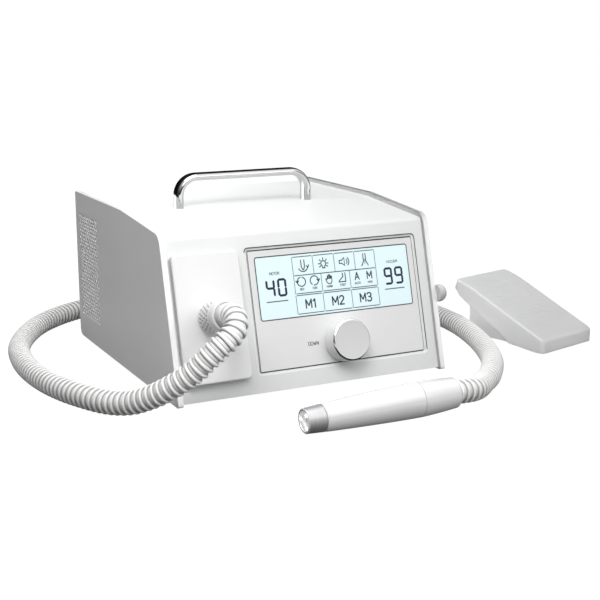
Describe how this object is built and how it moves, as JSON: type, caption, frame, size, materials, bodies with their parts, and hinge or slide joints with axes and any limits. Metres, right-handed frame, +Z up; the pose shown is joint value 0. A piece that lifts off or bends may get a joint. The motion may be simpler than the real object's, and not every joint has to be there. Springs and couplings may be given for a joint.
{
  "type": "micromotor unit with suction",
  "caption": "Tabletop rotary-tool control unit with built-in suction, a handpiece on a ribbed hose and a sprung foot pedal.",
  "frame": {"origin": "on the floor, at the underside of the control unit's middle foot", "axes": "+X to the right seen from the front, +Y to the back, +Z up"},
  "size_m": [0.5877, 0.5337, 0.192],
  "materials": {
    "cover_white": "smooth gloss paint",
    "panel_grey": "fine satin paint",
    "rear_grey": "satin paint",
    "steel": "machined",
    "chrome_bar": "polished",
    "foot_rubber": "matte",
    "display_grey": "satin film",
    "lcd_blue": "lit screen glass",
    "knob_grey": "satin",
    "port_white": "moulded gloss",
    "hose_white": "ribbed, soft",
    "board_green": "circuit board",
    "inner_plastic": "moulded",
    "bag_paper": "paper fleece",
    "copper": "enamelled winding",
    "black_plastic": "moulded",
    "nose_metal": "turned, fine brush lines",
    "lens_clear": "clear lens",
    "sleeve_white": "gloss",
    "treadle_grey": "satin moulding",
    "pedal_grey": "moulded",
    "alu": "extruded"
  },
  "bodies": {
    "unit": {"base_plate": "rear_grey", "rubber_feet": "foot_rubber", "corner_blocks": "steel", "base_screws": "steel", "cover": "cover_white", "left_panel": "panel_grey", "right_panel": "panel_grey", "rear_panel": "rear_grey", "holder_peg": "port_white", "carry_handle": "chrome_bar", "handle_screws": "steel", "display_panel": "display_grey", "lcd_glass": "lcd_blue", "lcd_module": "inner_plastic", "control_board": "board_green", "board_posts": "steel", "encoder": "inner_plastic", "port_plate": "port_white", "hose_spigot": "inner_plastic", "spigot_ring": "steel", "suction_hose": "hose_white", "filter_chamber": "inner_plastic", "filter_bag": "bag_paper", "fan_gasket": "foot_rubber", "fan_case": "alu", "motor_can": "steel", "motor_stator": "copper", "motor_cradle": "foot_rubber", "psu_board": "board_green", "transformer": "copper", "heat_sink": "alu", "capacitors": "black_plastic", "mains_inlet": "black_plastic", "rocker_frame": "black_plastic", "pedal_jack": "black_plastic", "nose_insert": "black_plastic", "nose_lights": "lens_clear", "front_sleeve": "sleeve_white", "rear_sleeve": "sleeve_white", "hose_cuff": "foot_rubber", "drill_motor": "steel", "drill_bearings": "steel", "motor_spacers": "inner_plastic", "pedal_base": "pedal_grey", "pedal_pin": "steel", "pedal_spring": "steel", "pedal_sensor": "board_green", "pedal_feet": "foot_rubber"},
    "knob": {"control_knob": "knob_grey", "encoder_shaft": "steel"},
    "union_collar": {"hose_collar": "port_white"},
    "blower": {"fan_wheel": "alu", "motor_rotor": "steel"},
    "rocker": {"power_rocker": "black_plastic"},
    "nose": {"nose_ring": "nose_metal"},
    "spindle": {"drill_spindle": "steel"},
    "treadle": {"pedal_treadle": "treadle_grey", "pedal_magnet": "steel"}
  },
  "joints": [
    {"name": "knob_turn", "type": "hinge", "parent": "unit", "child": "knob", "pos_m": [0.033, -0.13802, 0.04413], "axis": [0, -0.9646, 0.2639], "continuous": true},
    {"name": "collar_turn", "type": "hinge", "parent": "unit", "child": "union_collar", "pos_m": [-0.0995, -0.12868, 0.07827], "axis": [0, -0.9646, 0.2639], "continuous": true},
    {"name": "blower_spin", "type": "hinge", "parent": "unit", "child": "blower", "pos_m": [-0.085, 0, 0.062], "axis": [0, 1, 0], "continuous": true},
    {"name": "rocker_tilt", "type": "hinge", "parent": "unit", "child": "rocker", "pos_m": [0.046, 0.14, 0.048], "axis": [-1, 0, 0], "range_deg": [0, 16]},
    {"name": "nose_turn", "type": "hinge", "parent": "unit", "child": "nose", "pos_m": [-0.068, -0.25, 0.013], "axis": [0.9997, 0, 0.0262], "range_deg": [0, 60]},
    {"name": "spindle_spin", "type": "hinge", "parent": "unit", "child": "spindle", "pos_m": [-0.068, -0.25, 0.013], "axis": [0.9997, 0, 0.0262], "continuous": true},
    {"name": "treadle_press", "type": "hinge", "parent": "unit", "child": "treadle", "pos_m": [0.30245, -0.12271, 0.011], "axis": [-0.9659, -0.2588, 0], "range_deg": [0, 5], "stiffness_Nm_per_rad": 2, "springref_deg": -8.59, "deforming": ["pedal_spring"]}
  ]
}
